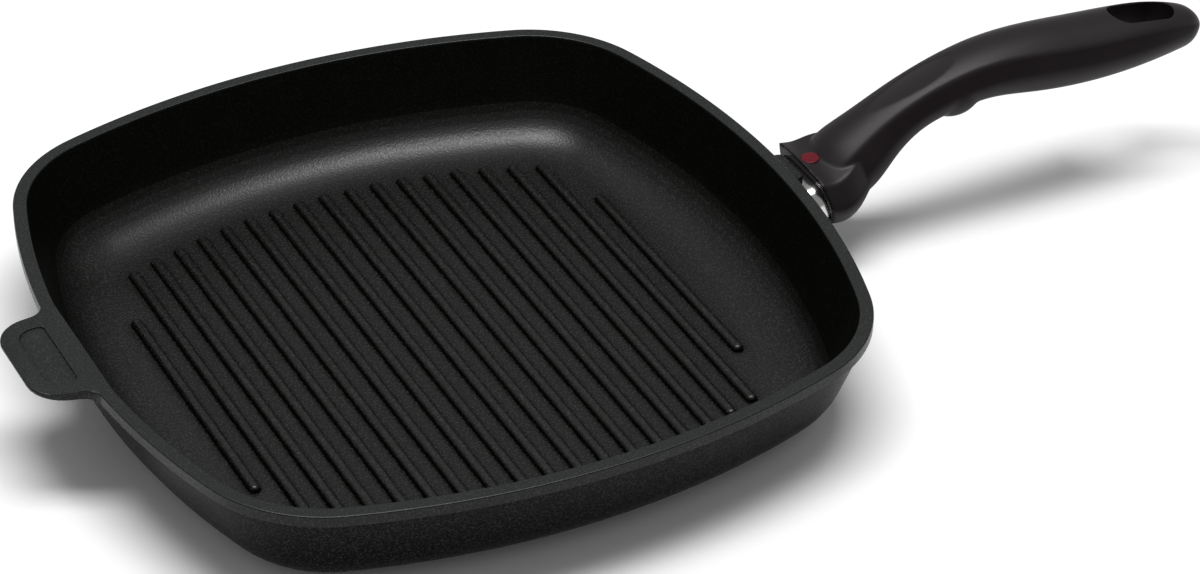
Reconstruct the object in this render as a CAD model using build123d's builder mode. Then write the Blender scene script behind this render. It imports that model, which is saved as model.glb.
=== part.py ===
from build123d import *
from math import atan2, cos, degrees, radians, sin, sqrt, tan
import os

os.makedirs("parts", exist_ok=True)

# A square grill pan: one aluminium casting with a ribbed floor, and a moulded handle
# that is screwed to a tongue on the casting. Lengths are in millimetres, angles in degrees.
# The origin is the centre of the base on the surface that the pan stands on, +X points
# along the handle and +Z up.

# Pan casting
pan_side = 280.0  # across two opposite sides of the rim
side_bulge_radius = 300.0  # plan radius of each gently bulging side
corner_radius = 53.0  # plan radius of each corner
pan_height = 43.3
rim_width = 4.9
lip_height = 4.5  # the band under the rim that stands proud of the wall
lip_step = 1.5
wall_draft = 20.0
floor_thickness = 5.5
base_radius = 27.2  # rounding between the wall and the base, outside
bowl_radius = 25.0  # rounding between the wall and the cooking floor
rim_chamfer = 0.5

# Turned pad under the base, which is what stands on the hob
pad_margin = 45.0  # from the rim's side in to the pad's edge
pad_height = 0.4
pad_groove_count = 3
pad_groove_pitch = 28.0
pad_groove_width = 1.2
pad_groove_depth = 0.25

# Ribs on the cooking floor. They run across the pan and end on an arc.
rib_pitch = 10.5
rib_side_margin = 45.0  # at least this much from the rim's side to the middle of the first rib
rib_width = 4.4
rib_height = 2.2
rib_chamfer = 1.2
rib_end_margin = 39.0  # from the rim's side to the end of the middle rib
rib_end_radius = 215.0  # the arc that the rib ends follow
outer_rib_share = 0.54  # the first and the last rib are this much of the middle one

# Lifting lug, flush with the rim and opposite the handle
lug_reach = 19.2
lug_tip_width = 45.0
lug_root_width = 49.6
lug_thickness = 3.7  # at the rim
lug_taper = 2.1  # how much thinner its tip is
lug_corner_radius = 12.0
lug_root_radius = 7.0
recess_border = 6.2
recess_length = 10.8
recess_width = 35.0
recess_depth = 0.5
recess_outer_radius = 6.5
recess_inner_radius = 2.0

# Handle mouth: the frame that the boss, the flame guard and the handle share
mouth_gap = 12.9  # from the rim's side to the middle of the mouth
mouth_rise = 27.7
mouth_rake = 17.2

# Flame guard, a drawn stainless sleeve between the casting and the handle
guard_width = 33.6
guard_height = 17.8
guard_drop = 1.3  # its middle is this far below the middle of the mouth
guard_corner_radius = 8.6
guard_wall = 0.8
guard_length = 15.5
guard_seat_depth = 3.5  # how far it stands inside the handle's mouth

# Boss and tongue, cast in one with the pan
boss_flare = 3.0
boss_depth = 20.0
tongue_width = 15.0
tongue_height = 8.0
tongue_reach = 26.0
tongue_edge_radius = 1.5
fit_clearance = 0.3

# Handle flange, the flared end next to the pan
flange_width = 39.6
flange_height = 29.8
flange_length = 22.0
flange_power = 2.0  # exponent of its section, 2 being an ellipse

# Handle grip. Its centre line rises from the mouth and levels out towards the tip.
handle_length = 173.2  # from the middle of the mouth to the tip, along X
handle_rise = 32.0  # the highest point of the centre line above the mouth
grip_width = 27.4
grip_height = 26.2
section_sides = 24
top_power = 2.5
belly_power = 2.2

# Thumb scoop on top of the neck, and the finger stop under it
scoop_place = 0.307  # along the centre line, as a share of it
scoop_length = 38.0
scoop_width = 20.0
scoop_depth = 1.3
scoop_height_share = 0.75  # the section's height there, as a share of the grip's
stop_place = 0.376
stop_length = 17.0
stop_radius = 11.5
stop_height = 3.0
stop_swell = 2.9
stop_height_share = 0.825

# Hanging hole near the tip
hole_length = 33.0
hole_width = 15.0
hole_end_margin = 10.5  # from the hole to the handle's tip

# Round accent set into the top of the flange
dot_diameter = 7.6
dot_thickness = 1.2
dot_chamfer = 0.4
dot_pocket_depth = 1.0
dot_reach = 5.5  # from the mouth, along its axis
dot_height_share = 0.9  # the flange's height there, as a share of its height at the mouth
dot_tilt = 12.7
dot_clearance = 0.05

# Handle screw, its washers and the threaded insert
screw_reach = 15.0
screw_seat = 7.8  # from the tongue's middle to the seat of the washers
screw_diameter = 5.0
screw_length = 12.0
screw_head_diameter = 8.6
screw_head_height = 2.6
screw_head_chamfer = 0.9
drive_width = 1.1
drive_depth = 1.6
drive_span = 5.0
washer_diameter = 9.0
washer_thickness = 1.0
spring_washer_diameter = 8.4
spring_washer_thickness = 1.1
spring_washer_gap = 0.9
counterbore_diameter = 10.0
insert_diameter = 7.0
thread_clearance = 0.05
shank_clearance = 0.25
cut_overrun = 15.0

# The handle's centre line, as shares of its length and of its rise
spine_reach_shares = [0.0, 0.03, 0.087, 0.156, 0.237, 0.329, 0.433, 0.549, 0.664, 0.78, 0.872, 0.941, 1.0]
spine_rise_shares = [0.0, 0.03, 0.167, 0.445, 0.724, 0.895, 0.986, 0.966, 0.916, 0.896, 0.885, 0.845, 0.775]

# Sections of the neck and grip: place along the centre line, width and height, as shares
section_place_shares = [0.029, 0.089, 0.171, 0.263, 0.356, 0.456, 0.567, 0.677, 0.788, 0.876, 0.942, 0.981, 1.0]
section_width_shares = [0.95, 1.04, 0.895, 0.815, 0.826, 0.883, 0.97, 1.0, 0.955, 0.849, 0.66, 0.41, 0.14]
section_height_shares = [0.80, 1.10, 0.932, 0.755, 0.781, 0.86, 0.985, 1.0, 0.941, 0.817, 0.66, 0.42, 0.14]

# Sections of the flange: place along the mouth's axis, width, height and drop, as shares
flange_place_shares = [0.0, 0.23, 0.5, 0.77, 1.0]
flange_width_shares = [1.0, 1.01, 0.96, 0.80, 0.63]
flange_height_shares = [1.0, 0.965, 0.925, 0.86, 0.705]
flange_drop_shares = [0.0, 0.072, 0.07, 0.04, 0.017]

# Shared values
lip_bottom = pan_height - lip_height
cavity_depth = pan_height - floor_thickness
ribs_each_side = int((pan_side / 2 - rib_side_margin) / rib_pitch)
rib_half_length = pan_side / 2 - rib_end_margin
mouth_reach = pan_side / 2 + mouth_gap
wall_slope = tan(radians(wall_draft))
mouth = Plane(
    origin=(mouth_reach, 0, mouth_rise),
    x_dir=(0, 1, 0),
    z_dir=(cos(radians(mouth_rake)), 0, sin(radians(mouth_rake))),
)
guard_start = guard_seat_depth - guard_length  # along the mouth's axis, where the boss ends
screw_plane = Plane(
    origin=mouth.from_local_coords((0, 0, screw_reach)),
    x_dir=(0, 1, 0),
    z_dir=-mouth.y_dir,
)
spring_seat = screw_seat + washer_thickness
head_seat = spring_seat + spring_washer_thickness
hole_middle = mouth_reach + handle_length - hole_end_margin - hole_length / 2
dot_plane = Plane(
    origin=mouth.from_local_coords((0, dot_height_share * flange_height / 2, dot_reach)),
    x_dir=(0, 1, 0),
    z_dir=mouth.y_dir * cos(radians(dot_tilt)) + mouth.z_dir * sin(radians(dot_tilt)),
)


def pan_outline(inset):
    """Returns the pan's plan, with every side moved inwards by inset."""
    side_centre = pan_side / 2 - side_bulge_radius
    centre_gap = side_bulge_radius - corner_radius
    corner_centre = (side_centre + sqrt(2 * centre_gap**2 - side_centre**2)) / 2
    side_angle = degrees(atan2(corner_centre, corner_centre - side_centre))
    with BuildSketch() as plan:
        with BuildLine():
            for turn in range(0, 360, 90):
                bulge_at = Vector(side_centre, 0).rotate(Axis.Z, turn)
                corner_at = Vector(corner_centre, corner_centre).rotate(Axis.Z, turn)
                CenterArc(bulge_at, side_bulge_radius - inset, turn - side_angle, 2 * side_angle)
                CenterArc(corner_at, corner_radius - inset, turn + side_angle, 90 - 2 * side_angle)
        make_face()
    return plan.sketch


def guard_outline(plane, growth):
    """Returns the flame guard's section on the plane, with every side moved outwards by growth."""
    with BuildSketch(plane) as section:
        with Locations((0, -guard_drop)):
            RectangleRounded(
                guard_width + 2 * growth,
                guard_height + 2 * growth,
                guard_corner_radius + growth,
            )
    return section.sketch


def rib_end(offset):
    """Returns how far the rib at this distance from the centre line reaches."""
    return rib_half_length - rib_end_radius + sqrt(rib_end_radius**2 - offset**2)


def draw_section(plane, width, height, drop, upper_power, lower_power):
    """Returns one many-sided section of the handle, its halves squarer or rounder by their exponents."""
    points = []
    for corner in range(section_sides):
        angle = radians(360 * (corner + 0.5) / section_sides)
        power = upper_power if sin(angle) > 0 else lower_power
        across = abs(cos(angle)) ** (2 / power) * (1 if cos(angle) > 0 else -1)
        up = abs(sin(angle)) ** (2 / power) * (1 if sin(angle) > 0 else -1)
        points.append((width / 2 * across, height / 2 * up - drop))
    with BuildSketch(plane) as section:
        Polygon(*points, align=None)
    return section.sketch


def barrel(station, height, length, radius, swell):
    """Returns a barrel that lies along the handle, its axis at this height above the station."""
    axis_origin = station.from_local_coords((0, height, 0))
    with BuildPart() as barrel_part:
        with BuildSketch(Plane(origin=axis_origin, x_dir=station.z_dir, z_dir=station.x_dir)):
            Polygon(
                (-length / 2, 0),
                (length / 2, 0),
                (length / 2, radius - swell),
                (length / 6, radius),
                (-length / 6, radius),
                (-length / 2, radius - swell),
                align=None,
            )
        revolve(axis=Axis(axis_origin, station.z_dir))
    return barrel_part.part


# The space inside the bowl
with BuildPart() as bowl_space:
    with BuildSketch(Plane.XY.offset(floor_thickness)):
        add(pan_outline(rim_width + cavity_depth * wall_slope))
    extrude(amount=cavity_depth, taper=-wall_draft)
    fillet(bowl_space.edges().group_by(Axis.Z)[0], radius=bowl_radius)

# Pan body: bowl, lip, lug, boss with its tongue, and ribs, all one casting
with BuildPart() as pan_body:
    with BuildSketch(Plane.XY.offset(pad_height)):
        add(pan_outline(lip_step + (lip_bottom - pad_height) * wall_slope))
    extrude(amount=lip_bottom - pad_height, taper=-wall_draft)
    fillet(pan_body.edges().group_by(Axis.Z)[0], radius=base_radius)
    with BuildSketch(Plane.XY.offset(lip_bottom)):
        add(pan_outline(0))
    extrude(amount=lip_height)

    # Lifting lug
    lug_bottom = pan_height - lug_thickness
    lug_tip = -pan_side / 2 - lug_reach
    lug_root = -pan_side / 2 + rim_width / 2
    with BuildSketch(Plane.XY.offset(lug_bottom)) as lug_plan:
        Polygon(
            (lug_tip, -lug_tip_width / 2),
            (lug_root, -lug_root_width / 2),
            (lug_root, lug_root_width / 2),
            (lug_tip, lug_tip_width / 2),
            align=None,
        )
        fillet(lug_plan.vertices().group_by(Axis.X)[0], radius=lug_corner_radius)
    extrude(amount=lug_thickness)
    lug_corners = pan_body.edges().filter_by(Axis.Z).filter_by_position(
        Axis.X, -pan_side / 2, -pan_side / 2 + rim_width
    )
    fillet(lug_corners, radius=lug_root_radius)
    with BuildSketch(Plane.XZ):
        Polygon(
            (lug_tip, lug_bottom),
            (-pan_side / 2, lug_bottom),
            (lug_tip, lug_bottom + lug_taper),
            align=None,
        )
    extrude(amount=lug_root_width, both=True, mode=Mode.SUBTRACT)

    # Boss on the wall, where the flame guard seats
    add(guard_outline(mouth.offset(guard_start), 0))
    add(guard_outline(mouth.offset(guard_start - boss_depth), boss_flare))
    loft()

    # Cooking bowl
    add(bowl_space.part, mode=Mode.SUBTRACT)
    chamfer(pan_body.edges().group_by(Axis.Z)[-1], length=rim_chamfer)

    # Lug recess
    with BuildSketch(Plane.XY.offset(pan_height)) as recess_plan:
        with Locations((lug_tip + recess_border, 0)):
            Rectangle(recess_length, recess_width, align=(Align.MIN, Align.CENTER))
        fillet(recess_plan.vertices().group_by(Axis.X)[0], radius=recess_outer_radius)
        fillet(recess_plan.vertices().group_by(Axis.X)[-1], radius=recess_inner_radius)
    extrude(amount=-recess_depth, mode=Mode.SUBTRACT)

    # Turned pad under the base
    with BuildSketch():
        Circle(pan_side / 2 - pad_margin)
    extrude(amount=pad_height)
    with BuildSketch():
        for ring in range(1, pad_groove_count + 1):
            Circle(ring * pad_groove_pitch)
            Circle(ring * pad_groove_pitch - pad_groove_width, mode=Mode.SUBTRACT)
    extrude(amount=pad_groove_depth, mode=Mode.SUBTRACT)

    # Ribs
    for rib in range(-ribs_each_side, ribs_each_side + 1):
        offset = rib * rib_pitch
        is_outer = abs(rib) == ribs_each_side
        half_length = rib_half_length * outer_rib_share if is_outer else rib_end(offset)
        with BuildSketch(Plane.XY.offset(floor_thickness)) as rib_plan:
            with Locations((offset, 0)):
                Rectangle(rib_width, 2 * half_length)
            chamfer(rib_plan.vertices(), length=rib_chamfer)
        extrude(amount=rib_height)
    rib_top = floor_thickness + rib_height
    chamfer(pan_body.edges().filter_by_position(Axis.Z, rib_top, rib_top), length=rib_chamfer)

    # Tongue that reaches into the handle, drilled for the threaded insert
    with BuildSketch(mouth.offset(guard_start)) as tongue_section:
        Rectangle(tongue_width, tongue_height)
        fillet(tongue_section.vertices(), radius=tongue_edge_radius)
    extrude(amount=tongue_reach - guard_start)
    with BuildSketch(screw_plane.offset(-tongue_height / 2)):
        Circle(insert_diameter / 2)
    extrude(amount=tongue_height, mode=Mode.SUBTRACT)

# Flame guard: a sleeve with an end wall that the tongue passes through
with BuildPart() as flame_guard:
    extrude(guard_outline(mouth.offset(guard_start), 0), amount=guard_length)
    extrude(
        guard_outline(mouth.offset(guard_start + guard_wall), -guard_wall),
        amount=guard_length,
        mode=Mode.SUBTRACT,
    )
    with BuildSketch(mouth.offset(guard_start)):
        Rectangle(tongue_width + 2 * fit_clearance, tongue_height + 2 * fit_clearance)
    extrude(amount=guard_length, mode=Mode.SUBTRACT)

# The handle's centre line
with BuildLine():
    spine = Spline(
        *[
            (mouth_reach + along * handle_length, 0, mouth_rise + up * handle_rise)
            for along, up in zip(spine_reach_shares, spine_rise_shares)
        ]
    )


def spine_plane(place):
    """Returns the plane square to the handle's centre line at this share of its length."""
    return Plane(origin=spine @ place, x_dir=(0, 1, 0), z_dir=spine % place)


# Handle grip
grip_sections = [
    draw_section(spine_plane(place), width * grip_width, height * grip_height, 0, top_power, belly_power)
    for place, width, height in zip(section_place_shares, section_width_shares, section_height_shares)
]
flange_sections = [
    draw_section(
        mouth.offset(place * flange_length),
        width * flange_width,
        height * flange_height,
        drop * flange_height,
        flange_power,
        flange_power,
    )
    for place, width, height, drop in zip(
        flange_place_shares, flange_width_shares, flange_height_shares, flange_drop_shares
    )
]
scoop_radius = ((scoop_width / 2) ** 2 + scoop_depth**2) / (2 * scoop_depth)
scoop_axis_height = scoop_height_share * grip_height / 2 - scoop_depth + scoop_radius
stop_axis_height = stop_radius - stop_height - stop_height_share * grip_height / 2

with BuildPart() as handle_grip:
    loft(grip_sections)
    add(barrel(spine_plane(stop_place), stop_axis_height, stop_length, stop_radius, stop_swell))
    add(
        barrel(spine_plane(scoop_place), scoop_axis_height, scoop_length, scoop_radius, 2 * scoop_depth),
        mode=Mode.SUBTRACT,
    )
    loft(flange_sections)

    # Mouth that takes the guard, and the socket for the tongue
    extrude(guard_outline(mouth, fit_clearance), amount=guard_seat_depth, mode=Mode.SUBTRACT)
    with BuildSketch(mouth):
        Rectangle(tongue_width + 2 * fit_clearance, tongue_height + 2 * fit_clearance)
    extrude(amount=tongue_reach + fit_clearance, mode=Mode.SUBTRACT)

    # Screw hole from below, with its counterbore
    with BuildSketch(screw_plane):
        Circle(screw_diameter / 2 + shank_clearance)
    extrude(amount=screw_seat, mode=Mode.SUBTRACT)
    with BuildSketch(screw_plane.offset(screw_seat)):
        Circle(counterbore_diameter / 2)
    extrude(amount=cut_overrun, mode=Mode.SUBTRACT)

    # Pocket for the accent dot
    with BuildSketch(dot_plane.offset(-dot_pocket_depth)):
        Circle(dot_diameter / 2 + dot_clearance)
    extrude(amount=cut_overrun, mode=Mode.SUBTRACT)

    # Hanging hole
    with BuildSketch(Plane.XY.offset(mouth_rise)):
        with Locations((hole_middle, 0)):
            SlotOverall(hole_length, hole_width)
    extrude(amount=handle_rise + grip_height, mode=Mode.SUBTRACT)

# Accent dot
with BuildPart() as accent_dot:
    with BuildSketch(dot_plane.offset(-dot_pocket_depth)):
        Circle(dot_diameter / 2)
    extrude(amount=dot_thickness + dot_chamfer)
    crown_face = accent_dot.faces().sort_by(Axis(dot_plane.origin, dot_plane.z_dir))[-1]
    chamfer(crown_face.edges(), length=dot_chamfer)

# Threaded insert, a steel bush set in the tongue
with BuildPart() as thread_insert:
    with BuildSketch(screw_plane.offset(-tongue_height / 2)):
        Circle(insert_diameter / 2)
        Circle(screw_diameter / 2, mode=Mode.SUBTRACT)
    extrude(amount=tongue_height)

# Flat washer and split spring washer under the screw's head
with BuildPart() as flat_washer:
    with BuildSketch(screw_plane.offset(screw_seat)):
        Circle(washer_diameter / 2)
        Circle(screw_diameter / 2 + shank_clearance, mode=Mode.SUBTRACT)
    extrude(amount=washer_thickness)

with BuildPart() as spring_washer:
    with BuildSketch(screw_plane.offset(spring_seat)):
        Circle(spring_washer_diameter / 2)
        Circle(screw_diameter / 2 + shank_clearance, mode=Mode.SUBTRACT)
        with Locations((spring_washer_diameter / 2, 0)):
            Rectangle(spring_washer_diameter, spring_washer_gap, mode=Mode.SUBTRACT)
    extrude(amount=spring_washer_thickness)

# Handle screw, up through the handle into the insert
with BuildPart() as handle_screw:
    with BuildSketch(screw_plane.offset(head_seat)):
        Circle(screw_head_diameter / 2)
    extrude(amount=screw_head_height)
    head_face = handle_screw.faces().sort_by(Axis(screw_plane.origin, screw_plane.z_dir))[-1]
    chamfer(head_face.edges(), length=screw_head_chamfer)
    with BuildSketch(screw_plane.offset(head_seat - screw_length)):
        Circle(screw_diameter / 2 - thread_clearance)
    extrude(amount=screw_length)
    with BuildSketch(screw_plane.offset(head_seat + screw_head_height - drive_depth)):
        Rectangle(drive_span, drive_width)
        Rectangle(drive_width, drive_span)
    extrude(amount=drive_depth, mode=Mode.SUBTRACT)

for name, piece in (
    ("pan_body", pan_body),
    ("flame_guard", flame_guard),
    ("handle_grip", handle_grip),
    ("accent_dot", accent_dot),
    ("thread_insert", thread_insert),
    ("flat_washer", flat_washer),
    ("spring_washer", spring_washer),
    ("handle_screw", handle_screw),
):
    piece.part.label = name
    export_step(piece.part, f"parts/{name}.step")
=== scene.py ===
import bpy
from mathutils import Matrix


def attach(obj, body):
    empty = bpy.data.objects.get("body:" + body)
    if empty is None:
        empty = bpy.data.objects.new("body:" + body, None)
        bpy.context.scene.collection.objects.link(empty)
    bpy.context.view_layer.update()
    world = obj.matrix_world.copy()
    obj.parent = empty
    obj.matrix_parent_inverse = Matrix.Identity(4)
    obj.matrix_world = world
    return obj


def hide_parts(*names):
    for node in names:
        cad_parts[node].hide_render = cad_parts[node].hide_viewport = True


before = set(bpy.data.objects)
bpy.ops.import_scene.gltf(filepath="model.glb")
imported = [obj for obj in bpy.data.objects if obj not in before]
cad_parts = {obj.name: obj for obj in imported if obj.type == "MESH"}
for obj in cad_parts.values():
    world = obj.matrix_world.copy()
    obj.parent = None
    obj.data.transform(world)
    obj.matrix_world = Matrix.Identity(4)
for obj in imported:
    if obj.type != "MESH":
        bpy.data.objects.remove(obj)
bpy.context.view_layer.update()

from math import atan2, ceil, cos, hypot, pi, radians, sin, sqrt, tan

import bmesh
import bpy
import numpy as np
from mathutils import Matrix, Vector
from mathutils.bvhtree import BVHTree

bl_info = {
    "name": "Grill Pan",
    "version": (1, 0, 0),
    "blender": (4, 5, 0),
    "location": "3D View > Sidebar > Grill Pan",
    "description": "Builds a square ribbed grill pan with a moulded handle, and a plain studio round it",
    "category": "Add Mesh",
}

MM = 0.001
BODY = "root"


# Colours and nodes


def linear(colour):
    """Turns an sRGB hex colour into the linear values that Blender's sockets take."""
    shares = [int(colour[start : start + 2], 16) / 255 for start in (1, 3, 5)]
    return [s / 12.92 if s <= 0.04045 else ((s + 0.055) / 1.055) ** 2.4 for s in shares]


def toned(shade, factor):
    """Returns a linear colour, lighter or darker by a factor."""
    return [share * factor for share in shade]


def add_node(tree, kind, links=None, values=None, **properties):
    """Adds a node, with its properties, the values of its sockets and what is linked to them."""
    node = tree.nodes.new(kind)
    for name, value in properties.items():
        setattr(node, name, value)
    for socket, value in (values or {}).items():
        node.inputs[socket].default_value = value
    for socket, source in (links or {}).items():
        tree.links.new(source, node.inputs[socket])
    return node


def output_of(tree, kind, links=None, values=None, **properties):
    """Adds a node and returns its first output."""
    return add_node(tree, kind, links, values, **properties).outputs[0]


def calculate(tree, operation, first, second=None):
    """Returns the result of a Math node. Each term is a number or an output."""
    node = add_node(tree, "ShaderNodeMath", operation=operation)
    for socket, term in enumerate((first, second)):
        if isinstance(term, (int, float)):
            node.inputs[socket].default_value = term
        elif term is not None:
            tree.links.new(term, node.inputs[socket])
    return node.outputs[0]


def axis_of(tree, vector, axis):
    """Returns the part of a vector along the axis with this letter."""
    return add_node(tree, "ShaderNodeSeparateXYZ", {"Vector": vector}).outputs[axis]


def upward_share(tree, normal):
    """Returns how far the surface faces up, 1 on top and -1 underneath, by this kind of normal."""
    return axis_of(tree, add_node(tree, "ShaderNodeNewGeometry").outputs[normal], "Z")


def new_material(name, **values):
    """Returns a material's node tree, its Principled shader and its Object coordinates."""
    material = bpy.data.materials.new(name)
    material.use_nodes = True
    tree = material.node_tree
    tree.nodes.clear()
    shader = add_node(tree, "ShaderNodeBsdfPrincipled", values=values)
    add_node(tree, "ShaderNodeOutputMaterial", links={"Surface": shader.outputs["BSDF"]})
    place = add_node(tree, "ShaderNodeTexCoord").outputs["Object"]
    return material, tree, shader, place


def noise(tree, place, size, detail=2.0, roughness=0.5, stretch=None):
    """Returns the value of a noise whose lumps are about this size in metres."""
    if stretch:
        place = output_of(tree, "ShaderNodeMapping", {"Vector": place}, {"Scale": stretch})
    values = {"Scale": 1 / size, "Detail": detail, "Roughness": roughness}
    return output_of(tree, "ShaderNodeTexNoise", {"Vector": place}, values)


def remap(tree, value, low, high, to_low, to_high):
    """Returns the value with low..high spread over to_low..to_high."""
    values = {"From Min": low, "From Max": high, "To Min": to_low, "To Max": to_high}
    return output_of(tree, "ShaderNodeMapRange", {"Value": value}, values)


def spread(tree, pattern, to_low, to_high):
    """Returns a noise spread over to_low..to_high, because its own values keep near the middle."""
    return remap(tree, pattern, 0.3, 0.7, to_low, to_high)


def blend_colours(tree, share, first, second):
    """Returns a mix of two colours, each a linear colour or an output."""
    mix = add_node(tree, "ShaderNodeMix", {"Factor": share}, data_type="RGBA")
    for socket, source in (("A", first), ("B", second)):
        target = [s for s in mix.inputs if s.name == socket and s.type == "RGBA"][0]
        if isinstance(source, bpy.types.NodeSocket):
            tree.links.new(source, target)
        else:
            target.default_value = (*source, 1)
    return [s for s in mix.outputs if s.type == "RGBA"][0]


def add_bump(tree, shader, *layers):
    """Stacks bumps on the shader, each with its height output, its distance and its strength."""
    links = {}
    for height, distance, strength in layers:
        links["Height"] = height
        values = {"Distance": distance, "Strength": strength}
        links["Normal"] = output_of(tree, "ShaderNodeBump", links, values)
    tree.links.new(links["Normal"], shader.inputs["Normal"])


def set_surface(tree, shader, tint, rough, gloss=None):
    """Links the shader's colour, its roughness and, where it varies, its specular level."""
    for socket, source in (("Base Color", tint), ("Roughness", rough), ("Specular IOR Level", gloss)):
        if source is not None:
            tree.links.new(source, shader.inputs[socket])


def new_tree(name, inputs, output):
    """Returns a geometry tree with these inputs and one geometry output, and what it is given."""
    tree = bpy.data.node_groups.new(name, "GeometryNodeTree")
    for label, kind in inputs.items():
        tree.interface.new_socket(label, in_out="INPUT", socket_type="NodeSocket" + kind)
    tree.interface.new_socket(output, in_out="OUTPUT", socket_type="NodeSocketGeometry")
    return tree, add_node(tree, "NodeGroupInput").outputs


def read_attribute(tree, name, kind="FLOAT"):
    """Returns the attribute with this name, of each point."""
    node = add_node(tree, "GeometryNodeInputNamedAttribute", values={"Name": name}, data_type=kind)
    return node.outputs["Attribute"]


def finish_tree(tree, geometry, given):
    """Gives the geometry its material and sends it to the tree's output."""
    done = output_of(tree, "GeometryNodeSetMaterial", {"Geometry": geometry, "Material": given["Material"]})
    add_node(tree, "NodeGroupOutput", {0: done})


# Meshes


def new_piece(name, mesh, material=None):
    """Links a new object that holds the mesh, or the bmesh, at the origin."""
    if isinstance(mesh, bmesh.types.BMesh):
        bmesh.ops.recalc_face_normals(mesh, faces=mesh.faces)
        data = bpy.data.meshes.new(name)
        mesh.to_mesh(data)
        mesh.free()
        mesh = data
    piece = bpy.data.objects.new(name, mesh)
    bpy.context.scene.collection.objects.link(piece)
    if material:
        mesh.materials.clear()
        mesh.materials.append(material)
    return piece


def add_modifier(piece, kind, **settings):
    """Adds a modifier of this kind with these settings."""
    modifier = piece.modifiers.new(kind.lower(), kind)
    for name, value in settings.items():
        setattr(modifier, name, value)
    return modifier


def apply_modifiers(piece):
    """Replaces the piece's mesh with what its modifiers make of it."""
    graph = bpy.context.evaluated_depsgraph_get()
    mesh = bpy.data.meshes.new_from_object(piece.evaluated_get(graph), depsgraph=graph)
    piece.modifiers.clear()
    piece.data = mesh


def combine(piece, mesh, operation):
    """Adds the bmesh's solid to the piece or cuts it away."""
    tool = new_piece("tool", mesh, piece.data.materials[0])
    add_modifier(piece, "BOOLEAN", operation=operation, solver="EXACT", object=tool)
    apply_modifiers(piece)
    bpy.data.objects.remove(tool)


def shade(piece, edge_angle):
    """Shades the piece smooth, apart from edges that turn by more than the angle in degrees."""
    piece.data.shade_smooth()
    piece.data.set_sharp_from_angle(angle=radians(edge_angle))


def finish_piece(piece, slot, *nodes):
    """Puts the piece on the frame in place of the nodes. The slot is not used."""
    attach(piece, BODY)
    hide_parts(*nodes)


def skin(rings, closed=False):
    """Returns a bmesh with faces between rings of points. Its ends are capped, or joined if closed."""
    mesh = bmesh.new()
    loops = [[mesh.verts.new(point) for point in ring] for ring in rings]
    pairs = list(zip(loops, loops[1:]))
    if closed:
        pairs.append((loops[-1], loops[0]))
    for one, other in pairs:
        for at in range(len(one)):
            after = (at + 1) % len(one)
            mesh.faces.new((one[at], one[after], other[after], other[at]))
    if not closed:
        mesh.faces.new(loops[0])
        mesh.faces.new(loops[-1])
    return mesh


def frame_at(origin, across, up, ahead):
    """Returns the frame with this origin and these X, Y and Z axes."""
    return Matrix.Translation(origin) @ Matrix((across, up, ahead)).transposed().to_4x4()


def lathe(frame_of, outline, sides):
    """Returns a bmesh turned round the frame's Z axis. The outline holds (radius, height) pairs."""
    turns = [2 * pi * side / sides for side in range(sides)]
    rings = []
    for radius, height in outline:
        rings.append([frame_of @ Vector((radius * cos(turn), radius * sin(turn), height)) for turn in turns])
    return skin(rings)


def cylinder(frame_of, radius, low, high, sides):
    """Returns a bmesh of a cylinder round the frame's Z axis."""
    return lathe(frame_of, [(radius, low), (radius, high)], sides)


def rounded_rectangle(half_width, half_height, radius, corner_steps=10):
    """Returns the points of a rounded rectangle, as many for any size."""
    points = []
    for quarter in range(4):
        centre_x = (half_width - radius) * (1 if quarter in (0, 3) else -1)
        centre_y = (half_height - radius) * (1 if quarter in (0, 1) else -1)
        for step in range(corner_steps + 1):
            angle = pi / 2 * (quarter + step / corner_steps)
            points.append((centre_x + radius * cos(angle), centre_y + radius * sin(angle)))
    return points


def round_corners(corners, steps):
    """Returns a closed outline's points, each (x, y, radius) corner turned into an arc."""
    points = []
    for at, (x, y, radius) in enumerate(corners):
        here = Vector((x, y))
        if radius == 0:
            points.append(here)
            continue
        back = (Vector(corners[at - 1][:2]) - here).normalized()
        ahead = (Vector(corners[(at + 1) % len(corners)][:2]) - here).normalized()
        half = back.angle(ahead) / 2
        start = here + back * radius / tan(half)
        centre = here + (back + ahead).normalized() * radius / sin(half)
        spoke = start - centre
        turn = (pi - 2 * half) * (1 if back.cross(ahead) < 0 else -1)
        for step in range(steps + 1):
            points.append(centre + Matrix.Rotation(turn * step / steps, 2) @ spoke)
    return points


def mirrored_outline(corners, steps):
    """Returns the rounded outline of these corners and their mirror images across the X axis."""
    return round_corners(corners + [(x, -y, radius) for x, y, radius in reversed(corners)], steps)


class NaturalSpline:
    """A smooth curve through rows of values at rising places."""

    def __init__(self, places, rows):
        self.places = np.array(places, dtype=float)
        self.rows = np.array(rows, dtype=float).reshape(len(places), -1)
        gaps = np.diff(self.places)
        slopes = np.diff(self.rows, axis=0) / gaps[:, None]
        count = len(places)
        system = np.eye(count)
        right = np.zeros_like(self.rows)
        for at in range(1, count - 1):
            system[at, at - 1 : at + 2] = gaps[at - 1], 2 * (gaps[at - 1] + gaps[at]), gaps[at]
            right[at] = 6 * (slopes[at] - slopes[at - 1])
        self.bends = np.linalg.solve(system, right)

    def __call__(self, place):
        at = int(np.clip(np.searchsorted(self.places, place) - 1, 0, len(self.places) - 2))
        gap = self.places[at + 1] - self.places[at]
        ahead = (self.places[at + 1] - place) / gap
        back = 1 - ahead
        return (
            ahead * self.rows[at]
            + back * self.rows[at + 1]
            + ((ahead**3 - ahead) * self.bends[at] + (back**3 - back) * self.bends[at + 1]) * gap**2 / 6
        )


# Settings


def number(name, description, default, **options):
    """Returns a number property."""
    return bpy.props.FloatProperty(name=name, description=description, default=default, **options)


def length(name, description, default):
    """Returns a length property."""
    return number(name, description, default, unit="LENGTH", min=0)


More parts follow.
